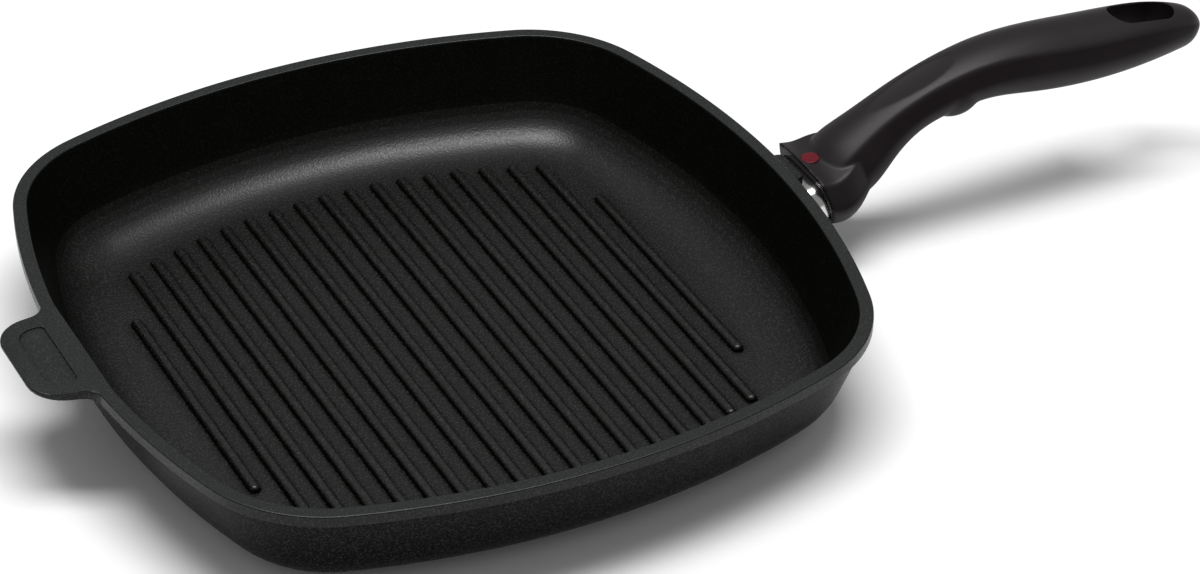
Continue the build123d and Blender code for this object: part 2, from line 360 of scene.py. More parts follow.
def colour(name, description, default):
    """Returns a colour property with its default as a hex value."""
    return bpy.props.FloatVectorProperty(
        name=name, description=description, default=linear(default), subtype="COLOR", size=3, min=0, max=1
    )


class GrillPanCasting(bpy.types.PropertyGroup):
    side: length("Side", "Across two opposite sides of the rim", 280 * MM)
    bulge_radius: length("Bulge radius", "Plan radius of each side", 300 * MM)
    corner_radius: length("Corner radius", "Plan radius of each corner", 53 * MM)
    height: length("Height", "From the surface it stands on to the rim", 43.3 * MM)
    rim_width: length("Rim width", "Width of the flat rim", 4.9 * MM)
    lip_height: length("Lip height", "Height of the band under the rim", 4.5 * MM)
    lip_step: length("Lip step", "How far the band stands out from the wall", 1.5 * MM)
    draft: number("Wall draft", "Lean of the walls", radians(20), subtype="ANGLE")
    floor: length("Floor", "Thickness of the cooking floor", 5.5 * MM)
    bowl_radius: length("Bowl radius", "Rounding between wall and floor, inside", 25 * MM)
    base_radius: length("Base radius", "Rounding between wall and base, outside", 27.2 * MM)
    coat: colour("Coating", "Colour of the non-stick coating", "#060604")
    fleck: colour("Fleck", "Colour of the mineral fleck in the coating", "#3a403e")


class GrillPanRibs(bpy.types.PropertyGroup):
    count: bpy.props.IntProperty(name="Ribs", description="Number of ribs on the floor", default=19, min=2)
    pitch: length("Pitch", "From one rib to the next", 10.5 * MM)
    radius: length("Rib radius", "Radius of the half-round rib", 2.2 * MM)
    reach: length("Middle reach", "From the centre line to the end of the middle rib", 102.5 * MM)
    end_radius: length("End radius", "Radius of the arc that the rib ends follow", 215 * MM)
    outer_share: number("Outer share", "Length of the outer ribs as a share of the middle one", 0.55)


class GrillPanHandle(bpy.types.PropertyGroup):
    reach: length("Length", "From the mouth to the tip", 173.2 * MM)
    rise: length("Rise", "Highest point of the centre line above the mouth", 32 * MM)
    width: length("Width", "Width of the grip", 27.4 * MM)
    height: length("Height", "Height of the grip", 26.2 * MM)
    plastic: colour("Plastic", "Colour of the moulded handle", "#161012")
    dot: colour("Dot", "Colour of the round accent", "#5e0616")


class GrillPanStage(bpy.types.PropertyGroup):
    floor: colour("Floor", "Colour of the studio floor", "#fcfcfc")
    light: number("Light", "Power of the light above", 52, unit="POWER")
    world: number("World", "Strength of the grey surroundings", 0.32)


# Materials


def sprayed_coating():
    """Sprayed non-stick coating on cast aluminium: nearly black, matt, with a fine mineral fleck."""
    settings = bpy.context.scene.grill_pan_casting
    tone, fleck_tone = settings.coat, settings.fleck
    material, tree, shader, place = new_material("sprayed_nonstick_coating", IOR=1.45)
    height = axis_of(tree, place, "Z")
    on_rim = remap(tree, height, settings.height - 0.9 * MM, settings.height - 0.4 * MM, 0.0, 1.0)
    upward = upward_share(tree, "True Normal")
    steep = remap(tree, upward, 0.4, 0.85, 1.0, 0.0)
    inner_wall = calculate(tree, "MULTIPLY", steep, remap(tree, upward, 0.1, 0.3, 0.0, 1.0))
    # The real fleck is about 0.1 mm. It is drawn at 0.8 mm so that it shows.
    fleck = noise(tree, place, 0.8 * MM, 1.0, 0.6)
    cloud = noise(tree, place, 12 * MM, 3.0)
    bowl = blend_colours(tree, spread(tree, cloud, 0.0, 1.0), toned(tone, 0.8), toned(tone, 1.2))
    rim = blend_colours(tree, cloud, toned(fleck_tone, 0.1), toned(fleck_tone, 0.15))
    coat = blend_colours(tree, on_rim, bowl, rim)
    flecked = remap(tree, fleck, 0.5, 0.68, 0.0, 0.45)
    # Painted shade: the fleck is cut back on the steep inner walls, so that they stay dark.
    flecked = calculate(tree, "MULTIPLY", flecked, remap(tree, inner_wall, 0.0, 1.0, 1.0, 0.15))
    tint = blend_colours(tree, flecked, coat, fleck_tone)
    rough = calculate(tree, "ADD", spread(tree, fleck, 0.4, 0.3), remap(tree, upward, 0.94, 0.99, 0.0, 0.04))
    # Painted shade: the specular level is lowered on faces that turn downwards, on the steep inner walls,
    # and, by ambient occlusion, in corners such as those beside the ribs, so that these stay dark.
    corner_occlusion = add_node(tree, "ShaderNodeAmbientOcclusion", values={"Distance": 5 * MM}, samples=8)
    gloss = remap(tree, upward, -0.35, 0.35, 0.05, 0.5)
    gloss = calculate(tree, "MULTIPLY", gloss, remap(tree, inner_wall, 0.0, 1.0, 1.0, 0.12))
    gloss = calculate(tree, "MULTIPLY", gloss, remap(tree, corner_occlusion.outputs["AO"], 0.7, 0.98, 0.04, 1.0))
    set_surface(tree, shader, tint, rough, gloss)
    add_bump(tree, shader, (noise(tree, place, 6 * MM, 2.0), 0.1 * MM, 0.1), (fleck, 0.12 * MM, 0.6))
    return material


def moulded_phenolic():
    """Moulded phenolic with a spark-eroded skin: warm black, satin, with a very fine even grain."""
    tone = bpy.context.scene.grill_pan_handle.plastic
    material, tree, shader, place = new_material("moulded_phenolic", IOR=1.5)
    # The real grain is about 0.1 mm. It is drawn at 0.35 mm so that it shows.
    grain = noise(tree, place, 0.35 * MM, 2.0, 0.6)
    cloud = noise(tree, place, 15 * MM, 2.0)
    tint = blend_colours(tree, spread(tree, cloud, 0.0, 1.0), toned(tone, 0.9), toned(tone, 1.15))
    # Painted highlight and shade: the specular level is raised on the top and lowered on the flanks under its
    # shoulders, so that the top reads lit and the flanks dark.
    upward = upward_share(tree, "Normal")
    top = remap(tree, upward, 0.25, 0.6, 0.0, 0.29)
    belly = remap(tree, upward, -0.4, 0.1, 0.26, 0.07)
    set_surface(tree, shader, tint, spread(tree, grain, 0.42, 0.54), calculate(tree, "ADD", top, belly))
    add_bump(tree, shader, (grain, 0.03 * MM, 0.35))
    return material


def polished_steel():
    """Drawn stainless steel, polished: bright, with faint hairlines round the sleeve."""
    material, tree, shader, place = new_material("polished_stainless_steel", Metallic=1.0)
    hairline = noise(tree, place, 0.4 * MM, 2.0, 0.6, (8, 1, 1))
    tint = blend_colours(tree, hairline, linear("#c9c9c8"), linear("#d8d8d6"))
    set_surface(tree, shader, tint, spread(tree, hairline, 0.12, 0.22))
    add_bump(tree, shader, (hairline, 0.01 * MM, 0.2))
    return material


def red_enamel():
    """Stove enamel on a small button: deep red and satin, with a hint of orange peel."""
    tone = bpy.context.scene.grill_pan_handle.dot
    material, tree, shader, place = new_material("red_enamel", **{"IOR": 1.5, "Specular IOR Level": 0.3})
    peel = noise(tree, place, 1.2 * MM, 1.0)
    tint = blend_colours(tree, peel, toned(tone, 0.95), toned(tone, 1.1))
    set_surface(tree, shader, tint, spread(tree, peel, 0.3, 0.4))
    add_bump(tree, shader, (peel, 0.02 * MM, 0.2))
    return material


def zinc_plate():
    """Zinc-plated steel of the small fasteners: light grey and slightly cloudy."""
    material, tree, shader, place = new_material("zinc_plated_steel", Metallic=1.0)
    cloud = noise(tree, place, 1.5 * MM, 3.0)
    tint = blend_colours(tree, cloud, linear("#a9abae"), linear("#c6c8ca"))
    set_surface(tree, shader, tint, spread(tree, cloud, 0.28, 0.45))
    add_bump(tree, shader, (noise(tree, place, 0.3 * MM, 1.0), 0.01 * MM, 0.2))
    return material


# Casting

base_height = 0.4 * MM
edge_rounding = 0.5 * MM
edge_support = 3 * (0.35 * MM)  # from a sharp corner to the point that keeps its side straight
profile_run = 45 * MM  # how far in the floor and the base reach before they are closed flat
pad_radius = 95 * MM
pad_groove_radii = (28 * MM, 56 * MM, 84 * MM)
pad_groove_width = 1.2 * MM
pad_groove_depth = 0.25 * MM
pad_bevel = 0.1 * MM
pad_overlap = 1.5 * MM

lug_reach = 18.8 * MM
lug_tip_half = 22.5 * MM
lug_root_half = 24.8 * MM
lug_thickness = 3.7 * MM
lug_taper = 2.1 * MM
lug_corner_radius = 12 * MM
lug_root_radius = 7 * MM
lug_inlay = 0.1 * MM  # how far its straight ends lie inside the rim's edge
lug_overrun = 14 * MM  # how far they run on beyond the root
recess_border = 6.2 * MM
recess_length = 10.8 * MM
recess_half_width = 17.5 * MM
recess_depth = 0.5 * MM
recess_tip_radius = 6.5 * MM
recess_root_radius = 2 * MM

mouth_reach = 152.9 * MM
mouth_rise = 27.7 * MM
mouth_rake = radians(17.2)
mouth_frame = frame_at(
    (mouth_reach, 0, mouth_rise),
    (0, 1, 0),
    (-sin(mouth_rake), 0, cos(mouth_rake)),
    (cos(mouth_rake), 0, sin(mouth_rake)),
)
guard_half_width = 16.8 * MM
guard_half_height = 8.9 * MM
guard_drop = 1.3 * MM
guard_corner = 8.6 * MM
guard_wall = 0.8 * MM
guard_start = -12 * MM
guard_seat = 3.5 * MM
boss_flare = 3 * MM
boss_depth = 20 * MM
boss_sink = 2 * MM
ledge_root = 3.5 * MM
ledge_reach = 6.7 * MM
ledge_half_width = 8.5 * MM
ledge_flare = 2 * MM
ledge_corner_radius = 2 * MM
ledge_bottom = 35 * MM
ledge_top = 38.5 * MM
tongue_half_width = 7.5 * MM
tongue_half_height = 4 * MM
tongue_reach = 26 * MM
tongue_edge = 1.5 * MM
fit_clearance = 0.3 * MM
screw_reach = 15 * MM
insert_radius = 3.5 * MM
bore_reach = 6 * MM  # each way from the tongue's middle


def plan_outline(casting, spacing=2.5 * MM):
    """Returns the rim's plan as a loop of points, four bulging sides joined by tighter corners."""
    side_centre = casting.side / 2 - casting.bulge_radius
    gap = casting.bulge_radius - casting.corner_radius
    corner_centre = (side_centre + sqrt(2 * gap**2 - side_centre**2)) / 2
    side_angle = atan2(corner_centre, corner_centre - side_centre)
    points = []
    for quarter in range(4):
        turn = Matrix.Rotation(quarter * pi / 2, 3, "Z")
        for x, y, radius, start, end in (
            (side_centre, 0, casting.bulge_radius, -side_angle, side_angle),
            (corner_centre, corner_centre, casting.corner_radius, side_angle, pi / 2 - side_angle),
        ):
            steps = ceil(radius * (end - start) / spacing)
            for step in range(steps):
                angle = start + (end - start) * step / steps
                points.append(turn @ Vector((x + radius * cos(angle), y + radius * sin(angle), 0)))
    return points


def shell_tree():
    """Returns the tree that rounds the profile's corners and sweeps it round the plan."""
    inputs = {"Lines": "Geometry", "Corner Steps": "Int", "Material": "Material"}
    tree, given = new_tree("pan_shell_sweep", inputs, "Shell")
    parted = {"Geometry": given["Lines"], "Selection": read_attribute(tree, "is_profile", "BOOLEAN")}
    lines = add_node(tree, "GeometryNodeSeparateGeometry", parted).outputs
    profile = output_of(tree, "GeometryNodeMeshToCurve", {"Mesh": lines["Selection"]})
    plan = output_of(tree, "GeometryNodeMeshToCurve", {"Mesh": lines["Inverted"]})
    corners = {"Curve": profile, "Radius": read_attribute(tree, "rounding"), "Count": given["Corner Steps"]}
    rounded = output_of(tree, "GeometryNodeFilletCurve", corners, {"Limit Radius": True}, mode="POLY")
    level = output_of(tree, "GeometryNodeSetCurveNormal", {"Curve": plan}, mode="Z_UP")
    swept = output_of(tree, "GeometryNodeCurveToMesh", {"Curve": level, "Profile Curve": rounded})
    real = output_of(tree, "GeometryNodeRealizeInstances", {"Geometry": swept})
    finish_tree(tree, real, given)
    return tree


def add_tree(piece, tree, values):
    """Runs the tree on the piece with these inputs and keeps the plain mesh that comes out."""
    modifier = add_modifier(piece, "NODES", node_group=tree)
    for item in tree.interface.items_tree:
        if item.in_out == "INPUT" and item.name in values:
            modifier[item.identifier] = values[item.name]
    apply_modifiers(piece)


def shell_profile(casting):
    """Returns the wall's profile from the cooking floor over the rim to the base, as (inset, z, rounding)."""
    slope = tan(casting.draft)
    rim, rim_width, step = casting.height, casting.rim_width, casting.lip_step
    lip_bottom = rim - casting.lip_height
    floor_corner = rim_width + (rim - casting.floor) * slope
    base_corner = step + (lip_bottom - base_height) * slope
    return [
        (profile_run, casting.floor, 0),
        (floor_corner, casting.floor, casting.bowl_radius),
        (rim_width + edge_support * slope, rim - edge_support, 0),
        (rim_width, rim, edge_rounding),
        (rim_width - edge_support, rim, 0),
        (edge_support, rim, 0),
        (0, rim, edge_rounding),
        (0, rim - edge_support, 0),
        (0, lip_bottom + edge_support, 0),
        (0, lip_bottom, edge_rounding),
        (step, lip_bottom, edge_rounding),
        (step + edge_support * slope, lip_bottom - edge_support, 0),
        (base_corner, base_height, casting.base_radius),
        (profile_run, base_height, 0),
    ]


def sweep_shell(casting, material):
    """Makes the bowl with its rim, closed at the floor and the base."""
    plan = plan_outline(casting)
    profile = shell_profile(casting)
    lines = bpy.data.meshes.new("pan_casting")
    places = list(plan) + [Vector((-inset, -z, 0)) for inset, z, _ in profile]
    first = len(plan)
    edges = [(at, (at + 1) % first) for at in range(first)]
    edges += [(first + at, first + at + 1) for at in range(len(profile) - 1)]
    lines.from_pydata(places, edges, [])
    lines.attributes.new("is_profile", "BOOLEAN", "POINT")
    lines.attributes.new("rounding", "FLOAT", "POINT")
    for at, (_, _, radius) in enumerate(profile):
        lines.attributes["is_profile"].data[first + at].value = True
        lines.attributes["rounding"].data[first + at].value = radius
    shell = new_piece("pan_casting", lines)
    add_tree(shell, shell_tree(), {"Corner Steps": 9, "Material": material})
    mesh = bmesh.new()
    mesh.from_mesh(shell.data)
    bmesh.ops.holes_fill(mesh, edges=[edge for edge in mesh.edges if edge.is_boundary])
    bmesh.ops.recalc_face_normals(mesh, faces=mesh.faces)
    mesh.to_mesh(shell.data)
    mesh.free()
    return shell


def lifting_lug(casting):
    """Returns the lug that is flush with the rim, thinner towards its tip, with rounded corners."""
    root = -casting.side / 2 + casting.rim_width / 2
    far = lug_root_half + lug_overrun

    def side_at(y):
        return casting.bulge_radius - casting.side / 2 - sqrt(casting.bulge_radius**2 - y**2) + lug_inlay

    corners = [
        (root + lug_thickness, -far, 0),
        (side_at(far), -far, 0),
        (side_at(lug_root_half), -lug_root_half, lug_root_radius),
        (-casting.side / 2 - lug_reach, -lug_tip_half, lug_corner_radius),
    ]
    outline = mirrored_outline(corners, 10)

    def underside(x):
        share = max(0.0, (-casting.side / 2 - x) / lug_reach)
        return casting.height - lug_thickness + lug_taper * share

    rings = []
    for inset, up in ((0.5, 0.0), (0.15, 0.12), (0.0, 0.45)):
        rings.append([(x + inset * MM if x < root else x, y, underside(x) + up * MM) for x, y in outline])
    for inset, down in ((0.0, 0.5), (0.15, 0.15), (0.5, 0.0)):
        rings.append([(x + inset * MM if x < root else x, y, casting.height - down * MM) for x, y in outline])
    return skin(rings)


def lug_recess(casting):
    """Returns the shallow recess in the lug's top, its floor edge a little drawn in."""
    left = -casting.side / 2 - lug_reach + recess_border
    right = left + recess_length
    rings = []
    for inset, height in ((0.35, -recess_depth), (0.1, -recess_depth + 0.1 * MM), (0.0, 0.3 * MM)):
        edge = inset * MM
        side = -recess_half_width + edge
        corners = [(left + edge, side, recess_tip_radius), (right - edge, side, recess_root_radius)]
        rings.append([(x, y, casting.height + height) for x, y in mirrored_outline(corners, 8)])
    return skin(rings)


def guard_ring(growth, along):
    """Returns the guard's section on the mouth's axis, grown outwards."""
    sizes = (size + growth for size in (guard_half_width, guard_half_height, guard_corner))
    return [mouth_frame @ Vector((x, y - guard_drop, along)) for x, y in rounded_rectangle(*sizes)]


def tongue_ring(growth, along, radius=0.1 * MM, corner_steps=10):
    """Returns the tongue's section on the mouth's axis, grown outwards."""
    sizes = (tongue_half_width + growth, tongue_half_height + growth, radius, corner_steps)
    return [mouth_frame @ Vector((x, y, along)) for x, y in rounded_rectangle(*sizes)]


def wall_depth(casting, point):
    """Returns how deep the point lies under the outer wall on the handle's side."""
    inset = casting.bulge_radius - hypot(point.x + casting.bulge_radius - casting.side / 2, point.y)
    slope = tan(casting.draft)
    lip_bottom = casting.height - casting.lip_height
    centre_z = base_height + casting.base_radius
    centre_inset = casting.lip_step + (lip_bottom - centre_z) * slope
    centre_inset += casting.base_radius / cos(casting.draft)
    if point.z > centre_z - casting.base_radius * sin(casting.draft):
        return (inset - casting.lip_step - (lip_bottom - point.z) * slope) * cos(casting.draft)
    return casting.base_radius - hypot(inset - centre_inset, point.z - centre_z)


def cast_boss(casting):
    """Returns the boss behind the guard, flaring into the wall, its inner end following the wall."""
    start = guard_ring(0, guard_start)
    far = guard_ring(boss_flare, guard_start - boss_depth)
    ends = []
    for near, flared, straight in zip(start, far, guard_ring(0, guard_start - boss_depth)):
        under = (mouth_frame.inverted() @ near).y < -guard_drop - guard_corner / 2
        target = straight if under else flared
        low, high = 0.0, 1.5
        for _ in range(30):
            middle = (low + high) / 2
            deep = wall_depth(casting, near.lerp(target, middle)) > boss_sink
            low, high = (low, middle) if deep else (middle, high)
        ends.append(near.lerp(target, low))
    centre = sum(ends, Vector()) / len(ends)
    return skin(
        [
            start,
            [near.lerp(end, 0.5) for near, end in zip(start, ends)],
            ends,
            [end.lerp(centre, 0.9) for end in ends],
        ]
    )


def cast_ledge(casting):
    """Returns the short ledge under the lip that shields the guard."""
    root = casting.side / 2 - ledge_root
    tip = casting.side / 2 + ledge_reach
    rings = []
    for inset, height in (
        (0, ledge_bottom),
        (0, ledge_top - 0.5 * MM),
        (0.15 * MM, ledge_top - 0.15 * MM),
        (0.5 * MM, ledge_top),
    ):
        corners = [
            (root, -ledge_half_width - ledge_flare + inset, 0),
            (tip - inset, -ledge_half_width + inset, ledge_corner_radius),
        ]
        rings.append([(x, y, height) for x, y in mirrored_outline(corners, 6)])
    return skin(rings)


def cast_tongue():
    """Returns the tongue that the handle is screwed to."""
    rings = []
    for inset, along in ((0, guard_start - 2 * MM), (0, tongue_reach - 1 * MM), (0.4 * MM, tongue_reach)):
        rings.append(tongue_ring(-inset, along, tongue_edge - inset, 5))
    return skin(rings)


def turned_pad():
    """Returns the turned round pad under the base, with its shallow grooves."""
    outline = [(pad_radius, pad_overlap), (pad_radius, pad_bevel), (pad_radius - pad_bevel, 0)]
    for radius in reversed(pad_groove_radii):
        outline += [
            (radius, 0),
            (radius - pad_bevel, pad_groove_depth),
            (radius - pad_groove_width + pad_bevel, pad_groove_depth),
            (radius - pad_groove_width, 0),
        ]
    outline.append((1 * MM, 0))
    return lathe(Matrix(), outline, 160)


def screw_frame():
    """Returns the frame of the handle screw's axis, its Z pointing down out of the handle."""
    origin = mouth_frame @ Vector((0, 0, screw_reach))
    level, steep = cos(mouth_rake), sin(mouth_rake)
    return frame_at(origin, (0, 1, 0), (level, 0, steep), (steep, 0, -level))


class GRILLPAN_OT_casting(bpy.types.Operator):
    """Build the pan's casting: bowl, rim, lug, boss, ledge, tongue and turned base"""

    bl_idname = "grillpan.casting"
    bl_label = "Build casting"

    def execute(self, context):
        casting = context.scene.grill_pan_casting
        pan = sweep_shell(casting, sprayed_coating())
        solids = [make(casting) for make in (lifting_lug, cast_boss, cast_ledge)]
        for solid in (*solids, cast_tongue(), turned_pad()):
            combine(pan, solid, "UNION")
        bore = cylinder(screw_frame(), insert_radius, -bore_reach, bore_reach, 48)
        for hollow in (lug_recess(casting), bore):
            combine(pan, hollow, "DIFFERENCE")
        shade(pan, 30)
        finish_piece(pan, "cast_coating", "pan_body")
        return {"FINISHED"}


# Ribs

bead_split = 0.01 * MM  # half of the gap between the bead's two halves, which are drawn apart


def rib_bead(radius, sides=10, levels=8, skirt=0.8 * MM):
    """Returns a short bead with a half-round section and ball ends, its foot sunk in the floor."""
    rings = []
    for level in range(-1, levels):
        angle = max(0, level) * pi / 2 / levels
        height = radius * sin(angle) if level >= 0 else -skirt
        around = radius * cos(angle)
        ring = []
        for end in (1, -1):
            for turn in [pi * step / sides for step in range(sides + 1)]:
                ring.append((end * around * cos(turn), end * (around * sin(turn) + bead_split), height))
        rings.append(ring)
    return skin(rings)


def rib_tree():
    """Returns the tree that sets a bead on each rib's place and draws it out to the rib's length."""
    numbers = ("Pitch", "Floor Height", "Middle Reach", "End Radius", "Outer Share", "Bead Radius")
    inputs = {"Bead": "Geometry", "Count": "Int", **dict.fromkeys(numbers, "Float"), "Material": "Material"}
    tree, given = new_tree("cooking_rib_layout", inputs, "Ribs")

    def work(operation, *terms):
        return calculate(tree, operation, *terms)

    half_pitch = work("MULTIPLY", given["Pitch"], 0.5)
    half_span = work("MULTIPLY", work("SUBTRACT", given["Count"], 1), half_pitch)
    first = {"X": work("MULTIPLY", half_span, -1), "Z": given["Floor Height"]}
    row = {
        "Count": given["Count"],
        "Start Location": output_of(tree, "ShaderNodeCombineXYZ", first),
        "Offset": output_of(tree, "ShaderNodeCombineXYZ", {"X": given["Pitch"]}),
    }
    line = output_of(tree, "GeometryNodeMeshLine", row, mode="OFFSET")
    place = output_of(tree, "GeometryNodeInputPosition")
    across = work("ABSOLUTE", axis_of(tree, place, "X"))
    squares = work("SUBTRACT", work("POWER", given["End Radius"], 2.0), work("POWER", across, 2.0))
    inner = work("ADD", work("SUBTRACT", given["Middle Reach"], given["End Radius"]), work("SQRT", squares))
    outer = work("MULTIPLY", given["Middle Reach"], given["Outer Share"])
    is_outer = work("GREATER_THAN", across, work("SUBTRACT", half_span, half_pitch))
    choice = {"Switch": is_outer, "False": inner, "True": outer}
    reach = output_of(tree, "GeometryNodeSwitch", choice, input_type="FLOAT")
    marks = {"Geometry": line, "Value": work("SUBTRACT", reach, given["Bead Radius"])}
    kind = {"data_type": "FLOAT", "domain": "POINT"}
    marked = output_of(tree, "GeometryNodeStoreNamedAttribute", marks, {"Name": "draw_out"}, **kind)
    beads = output_of(tree, "GeometryNodeInstanceOnPoints", {"Points": marked, "Instance": given["Bead"]})
    real = output_of(tree, "GeometryNodeRealizeInstances", {"Geometry": beads})
    shift = work("MULTIPLY", work("SIGN", axis_of(tree, place, "Y")), read_attribute(tree, "draw_out"))
    offset = output_of(tree, "ShaderNodeCombineXYZ", {"Y": shift})
    drawn = output_of(tree, "GeometryNodeSetPosition", {"Geometry": real, "Offset": offset})
    finish_tree(tree, output_of(tree, "GeometryNodeSetShadeSmooth", {"Geometry": drawn}), given)
    return tree


class GRILLPAN_OT_ribs(bpy.types.Operator):
    """Lay out the half-round ribs on the cooking floor"""

    bl_idname = "grillpan.ribs"
    bl_label = "Build ribs"

    def execute(self, context):
        casting, ribs = context.scene.grill_pan_casting, context.scene.grill_pan_ribs
        piece = new_piece("cooking_ribs", rib_bead(ribs.radius))
        add_tree(
            piece,
            rib_tree(),
            {
                "Count": ribs.count,
                "Pitch": ribs.pitch,
                "Floor Height": casting.floor,
                "Middle Reach": ribs.reach,
                "End Radius": ribs.end_radius,
                "Outer Share": ribs.outer_share,
                "Bead Radius": ribs.radius,
                "Material": bpy.data.materials["sprayed_nonstick_coating"],
            },
        )
        finish_piece(piece, "cast_coating", "pan_body")
        return {"FINISHED"}


# Handle

spine_reach_shares = [0.0, 0.03, 0.087, 0.156, 0.237, 0.329, 0.433, 0.549, 0.664, 0.78, 0.872, 0.941, 1.0]
spine_rise_shares = [0.0, 0.03, 0.167, 0.445, 0.724, 0.895, 0.986, 0.966, 0.916, 0.896, 0.885, 0.845, 0.775]
section_shares = [
    (0.029, 0.95, 0.80, 1.0),
    (0.089, 1.04, 1.03, 1.0),
    (0.171, 0.895, 0.92, 1.0),
    (0.263, 0.815, 0.755, 1.0),
    (0.356, 0.826, 0.781, 1.0),
    (0.456, 0.883, 0.86, 0.95),
    (0.567, 0.97, 0.985, 0.9),
    (0.677, 1.0, 1.0, 0.85),
    (0.788, 0.955, 0.941, 0.8),
    (0.876, 0.849, 0.817, 0.7),
    (0.942, 0.66, 0.66, 0.4),
    (0.981, 0.41, 0.42, 0.0),
    (1.0, 0.14, 0.14, 0.0),
]
flange_shares = [
    (0.0, 1.0, 1.0, 0.0),
    (0.23, 1.01, 0.965, 0.072),
    (0.5, 0.96, 0.925, 0.07),
    (0.77, 0.80, 0.845, 0.04),
    (1.0, 0.63, 0.68, 0.017),
]
flange_width = 39.6 * MM
flange_height = 29.8 * MM
flange_length = 22 * MM
neck_shoulder = (0.82, 0.72, 0.94)
grip_shoulder = (0.9, 0.6, 0.95)
shoulder_change = (0.36, 0.6)
flange_shoulder = (0.84, 0.74, 0.85)
flange_edge = 0.9
top_power = 2.5
belly_power = 2.2
scoop_start, scoop_end = 0.15, 0.405
scoop_half_width, scoop_depth, scoop_lid = 10.5 * MM, 1.3 * MM, 6 * MM
stop_place, stop_share = 0.376, 0.825
stop_length, stop_radius, stop_height, stop_swell = 17 * MM, 11.5 * MM, 3.0 * MM, 2.9 * MM
hole_length, hole_radius, hole_margin, hole_edge = 28.5 * MM, 7.0 * MM, 13.5 * MM, 0.6 * MM
handle_voxel = 0.5 * MM
mouth_overrun = 8 * MM
shank_radius, shank_reach = 2.75 * MM, 10 * MM
head_radius, head_reach = 5 * MM, 25 * MM
screw_seat = 7.8 * MM
dot_radius = 3.4 * MM
dot_depth = 1 * MM
dot_clearance = 0.05 * MM
dot_overrun = 5 * MM
dot_reach = 5.5 * MM
dot_margin = dot_radius + 0.4 * MM
dot_tilt = radians(12.7)


def crown(shoulder, edge):
    """Returns how far up a section reaches in its middle, as a share of its half height."""
    return 1 + (shoulder[2] - 1) * edge


def section_ring(station, width, height, drop, shoulder, edge, powers, sides=96):
    """Returns a section of the handle: a low dome between two shoulders over a round belly.

    The shoulder gives its place across and up and the dome's top, as shares of the half sizes. An
    edge of 0 leaves the plain rounded section that the powers give, and 1 the full shoulders.
    """
    out, up, top = shoulder
    arch = (top - up) / out**2
    ring = []
    for side in range(sides):
        angle = 2 * pi * (side + 0.5) / sides
        across, rise = abs(cos(angle)), sin(angle)
        power = powers[0] if rise > 0 else powers[1]
        reach = (across**power + abs(rise) ** power) ** (-1 / power)
        if rise > 0:
            flank = 1 / (across + (1 - out) * rise / up)
            dome = (sqrt(rise**2 + 4 * arch * top * across**2) - rise) / (2 * arch * across**2)
            reach += (min(flank, dome) - reach) * edge
        ring.append(station @ Vector((width / 2 * reach * cos(angle), height / 2 * reach * rise - drop, 0)))
    return ring


def handle_spine(handle):
    """Returns the handle's centre line as a spline over shares of its chord length."""
    points = [
        (mouth_reach + along * handle.reach, 0, mouth_rise + up * handle.rise)
        for along, up in zip(spine_reach_shares, spine_rise_shares)
    ]
    runs = [0.0]
    for one, other in zip(points, points[1:]):
        runs.append(runs[-1] + hypot(other[0] - one[0], other[2] - one[2]))
    return NaturalSpline([run / runs[-1] for run in runs], points)


def station_frame(spine, place):
    """Returns the frame square to the centre line at a share of its length, its X across."""
    step = 0.001
    along = (Vector(spine(min(1, place + step))) - Vector(spine(max(0, place - step)))).normalized()
    across = Vector((0, 1, 0))
    return frame_at(Vector(spine(place)), across, along.cross(across), along)


def spline_of(rows):
    """Returns the spline through rows that each start with their place."""
    return NaturalSpline([row[0] for row in rows], [row[1:] for row in rows])


def shoulder_at(place):
    """Returns the shoulder's shape at a share of the centre line, which sinks from the neck to the grip."""
    start, end = shoulder_change
    share = min(1, max(0, (place - start) / (end - start)))
    share = share * share * (3 - 2 * share)
    return [neck + (grip - neck) * share for neck, grip in zip(neck_shoulder, grip_shoulder)]


def grip_body(handle, spine, stations=120):
    """Returns the neck and grip as one smooth closed skin."""
    shares = spline_of(section_shares)
    first, last = section_shares[0][0], section_shares[-1][0]
    rings = []
    for at in range(stations + 1):
        place = first + (last - first) * (1 - (1 - at / stations) ** 1.3)
        width, height, edge = shares(place)
        station = station_frame(spine, place)
        size = (width * handle.width, height * handle.height, 0)
        rings.append(section_ring(station, *size, shoulder_at(place), edge, (top_power, belly_power)))
    return skin(rings)


def thumb_scoop(handle, spine, stations=40):
    """Returns the shallow scoop that follows the top of the neck, deepest towards the grip."""
    shares = spline_of(section_shares)
    radius = (scoop_half_width**2 + scoop_depth**2) / (2 * scoop_depth)
    reach = 1.3 * scoop_half_width
    rings = []
    for at in range(stations + 1):
        place = scoop_start + (scoop_end - scoop_start) * at / stations
        _, height, edge = shares(place)
        top = height * handle.height / 2 * crown(shoulder_at(place), edge)
        depth = 1.25 * scoop_depth * sin(pi * (at / stations) ** 1.5) - 0.25 * scoop_depth
        sides = [reach * (side / 12 - 1) for side in range(25)]
        points = [(x, top - depth + radius - sqrt(radius**2 - x**2)) for x in sides]
        points += [(reach, top + scoop_lid), (-reach, top + scoop_lid)]
        station = station_frame(spine, place)
        rings.append([station @ Vector((x, y, 0)) for x, y in points])
    return skin(rings)


def flange_body():
    """Returns the flared end of the handle as one smooth closed skin."""
    shares = spline_of(flange_shares)
    rings = []
    for at in range(25):
        width, height, drop = shares(at / 24)
        station = mouth_frame @ Matrix.Translation((0, 0, at / 24 * flange_length))
        size = (width * flange_width, height * flange_height, drop * flange_height)
        rings.append(section_ring(station, *size, flange_shoulder, flange_edge, (2.0, 2.0)))
    return skin(rings)


def barrel(station, height, length, radius, swell):
    """Returns a barrel that lies along the handle with its axis above the station."""
    turned = station @ Matrix.Translation((0, height, 0))
    bulge = (length**2 / 4 + swell**2) / (2 * swell)
    outline = []
    for step in range(21):
        along = length * (step / 20 - 0.5)
        outline.append((radius - bulge + sqrt(bulge**2 - along**2), along))
    return lathe(turned, outline, 160)


